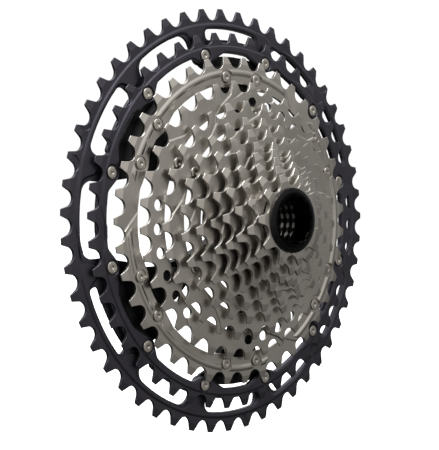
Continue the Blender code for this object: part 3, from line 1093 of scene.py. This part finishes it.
def spider_outline():
    half_root = math.degrees(math.asin(ARM_ROOT / HUB_RADIUS))
    between = 60 - 2 * half_root
    corners = []
    for arm in ARM_ANGLES:
        corners.append((*polar(HUB_RADIUS, arm - half_root), 2.5))
        for x, z, radius in arm_corners():
            corners.append((*turned_by([(x, z)], arm)[0], radius))
        corners.append((*polar(HUB_RADIUS, arm + half_root), 2.5))
        for k in range(2, 5):
            corners.append((*polar(HUB_RADIUS, arm + half_root + between * k / 6), 0))
    return filleted(corners, 4)


def make_spider(finishes):
    """The spider's outline, cut down to its section turned about the axis."""
    work = bmesh.new()
    add_plate(work, -20, 10, spider_outline(), [spline_bore()], edge=0.02)
    plan = finished(work, "spider_plan")
    work = bmesh.new()
    turned(work, [SPIDER_SECTION] * 180)
    section = finished(work, "spider_section")
    work = bmesh.new()
    work.from_mesh(boolean_of(plan, section, "INTERSECT"))
    bmesh.ops.dissolve_limit(
        work, angle_limit=math.radians(1.0), verts=work.verts[:], edges=work.edges[:]
    )
    made = add_object(
        "machined_spider",
        finished(work, "beam_spider_fine", 30),
        finishes["black_anodised"],
        "cassette",
        ["beam_spider"],
        flat=False,
    )
    bevel = made.modifiers.new("Edges", "BEVEL")
    bevel.width = 0.35 * MM
    bevel.segments = 2
    bevel.limit_method = "ANGLE"
    bevel.angle_limit = math.radians(38)
    weight_normals(made)


def make_washer(finishes):
    face, _ = faces_of(11)
    front, back = face - WASHER_THICKNESS - 0.05, face - 0.05
    work = bmesh.new()
    corners = [
        (BORE_10T, front, 0.1),
        (15.0, front, 0.12),
        (15.0, back, 0.12),
        (BORE_10T, back, 0.1),
    ]
    turned_ring(work, corners, 96)
    add_object(
        "flat_washer",
        finished(work, "washer_fine"),
        finishes["washer_steel"],
        "washer",
        ["lockring_washer"],
    )


def lockring_bore(angle):
    """Radius of the bore, with a notch for the tool at every 30 degrees and a step beside it."""
    place = (angle % 30) / 30
    if 0.06 < place < 0.44:
        return RING_NOTCH
    if 0.02 < place < 0.48:
        return (RING_BORE + RING_NOTCH) / 2
    return RING_BORE


def make_lockring(finishes):
    """Flange with a rounded face and a knurled rim, and a threaded sleeve behind it."""
    seat = faces_of(11)[0] - 0.6
    front = seat - FLANGE_THICKNESS
    count = 360
    profiles = []
    for k in range(count):
        bore = lockring_bore(360 * k / count)
        rim = FLANGE_RADIUS - (KNURL if k % 4 < 2 else 0.0)
        profile = [(bore + 0.25, front)]
        profile += [(radius, front + y) for radius, y in FLANGE_FACE]
        profile += [(rim, front + 1.0), (rim, seat - 0.05), (15.3, seat), (THREAD_CREST, seat)]
        for turn in range(THREAD_TURNS):
            y = seat + 0.6 + turn
            profile += [
                (THREAD_ROOT, y),
                (THREAD_CREST, y + 0.3),
                (THREAD_CREST, y + 0.55),
                (THREAD_ROOT, y + 0.85),
            ]
        end = seat + SLEEVE_LENGTH
        profile += [
            (12.5, end - 0.1),
            (12.2, end),
            (bore + 0.3, end),
            (bore, end - 0.3),
            (bore, front + 0.3),
        ]
        profiles.append(profile)
    work = bmesh.new()
    turned(work, profiles)
    add_object(
        "screw_lockring",
        finished(work, "lockring_fine", 30),
        finishes["gloss_black"],
        "lockring",
        ["lockring"],
    )


# ---------------------------------------------------------------- camera, light and floor


def make_camera():
    data = bpy.data.cameras.new("Camera")
    data.lens = 96.1
    data.sensor_width = 36.0
    data.clip_start, data.clip_end = 0.02, 50.0
    camera = bpy.data.objects.new("Camera", data)
    camera.location = (-0.4268, -0.4178, -0.0022)
    camera.rotation_euler = (math.radians(90), 0, math.radians(-44.95))
    bpy.context.scene.collection.objects.link(camera)
    bpy.context.scene.camera = camera


def make_overhead_light():
    place, target = Vector((-0.35, -0.15, 1.0)), Vector((0, -0.01, 0))
    data = bpy.data.lights.new("Overhead", "AREA")
    data.shape = "RECTANGLE"
    data.size = data.size_y = 0.8
    data.energy = 11
    light = bpy.data.objects.new("Overhead", data)
    light.location = place
    light.rotation_euler = (target - place).to_track_quat("-Z", "Y").to_euler()
    bpy.context.scene.collection.objects.link(light)


def make_room():
    """A white backdrop for the camera, and a softly lit room for everything that reflects it."""
    world = bpy.data.worlds.new("Studio")
    bpy.context.scene.world = world
    world.use_nodes = True
    tree = world.node_tree
    tree.nodes.clear()
    out = tree.nodes.new("ShaderNodeOutputWorld")
    rays = tree.nodes.new("ShaderNodeLightPath")
    white = tree.nodes.new("ShaderNodeBackground")
    white.inputs["Color"].default_value = (1, 1, 1, 1)
    white.inputs["Strength"].default_value = 1.05
    room = tree.nodes.new("ShaderNodeBackground")
    room.inputs["Strength"].default_value = 1.0
    coordinates = tree.nodes.new("ShaderNodeTexCoord")

    def lobe(direction, stops, tint=(1.0, 1.0, 1.0)):
        """Light that depends on the angle to a direction: (cosine, strength) stops."""
        along = tree.nodes.new("ShaderNodeVectorMath")
        along.operation = "DOT_PRODUCT"
        tree.links.new(coordinates.outputs["Generated"], along.inputs[0])
        along.inputs[1].default_value = Vector(direction).normalized()
        span = tree.nodes.new("ShaderNodeMapRange")
        span.inputs["From Min"].default_value = -1.0
        tree.links.new(along.outputs["Value"], span.inputs["Value"])
        ramp = tree.nodes.new("ShaderNodeValToRGB")
        ramp.color_ramp.interpolation = "EASE"
        elements = ramp.color_ramp.elements
        elements[0].position, elements[-1].position = [(stops[k][0] + 1) / 2 for k in (0, -1)]
        for cosine, _ in stops[1:-1]:
            elements.new((cosine + 1) / 2)
        for element, (_, strength) in zip(elements, stops):
            element.color = (*(strength * part for part in tint), 1)
        tree.links.new(span.outputs["Result"], ramp.inputs["Fac"])
        return ramp.outputs["Color"]

    above = lobe(
        (-0.1, 0.1, 1),
        ((-0.6, 0.02), (0.0, 0.09), (0.35, 0.32), (0.75, 0.7), (0.97, 1.1)),
        (0.985, 1.0, 1.02),
    )
    front = lobe(
        (0.2, -0.95, 0.3), ((0.1, 0.0), (0.45, 0.14), (0.78, 0.18), (1.0, 0.62)), (1.0, 0.96, 0.91)
    )
    behind = lobe((0.45, 0.75, 0.45), ((0.5, 0.0), (0.75, 0.3), (0.95, 0.85)))
    total = front
    for light in (above, behind):
        joined = tree.nodes.new("ShaderNodeVectorMath")
        joined.operation = "ADD"
        tree.links.new(total, joined.inputs[0])
        tree.links.new(light, joined.inputs[1])
        total = joined.outputs["Vector"]
    tree.links.new(total, room.inputs["Color"])
    mix = tree.nodes.new("ShaderNodeMixShader")
    tree.links.new(rays.outputs["Is Camera Ray"], mix.inputs["Fac"])
    tree.links.new(room.outputs["Background"], mix.inputs[1])
    tree.links.new(white.outputs["Background"], mix.inputs[2])
    tree.links.new(mix.outputs["Shader"], out.inputs["Surface"])


def make_floor():
    mesh = bpy.data.meshes.new("Floor")
    size = 12.0
    corners = [(-size, -size, 0), (size, -size, 0), (size, size, 0), (-size, size, 0)]
    mesh.from_pydata(corners, [], [(0, 1, 2, 3)])
    floor = bpy.data.objects.new("Floor", mesh)
    floor.location.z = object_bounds()[0].z - 0.0005
    bpy.context.scene.collection.objects.link(floor)
    material = bpy.data.materials.new("Pale floor")
    material.use_nodes = True
    shader = material.node_tree.nodes["Principled BSDF"]
    shader.inputs["Base Color"].default_value = (0.9, 0.9, 0.9, 1)
    shader.inputs["Roughness"].default_value = 0.9
    shader.inputs["Emission Color"].default_value = (1, 1, 1, 1)
    shader.inputs["Emission Strength"].default_value = 0.85
    mesh.materials.append(material)
    floor.visible_glossy = False
    floor.visible_diffuse = False


def main():
    make_camera()
    finishes = make_finishes()
    make_51t(finishes["dark_anodised"])
    make_45t(finishes["dark_anodised"])
    make_39t(finishes["nickel_steel"])
    make_33t(finishes["nickel_steel"])
    make_28t(finishes["nickel_steel"])
    make_loose_sprockets(finishes)
    make_rivets(finishes)
    make_spider(finishes)
    make_washer(finishes)
    make_lockring(finishes)
    bpy.context.scene.view_settings.view_transform = "Standard"
    make_room()
    make_overhead_light()
    make_floor()


main()
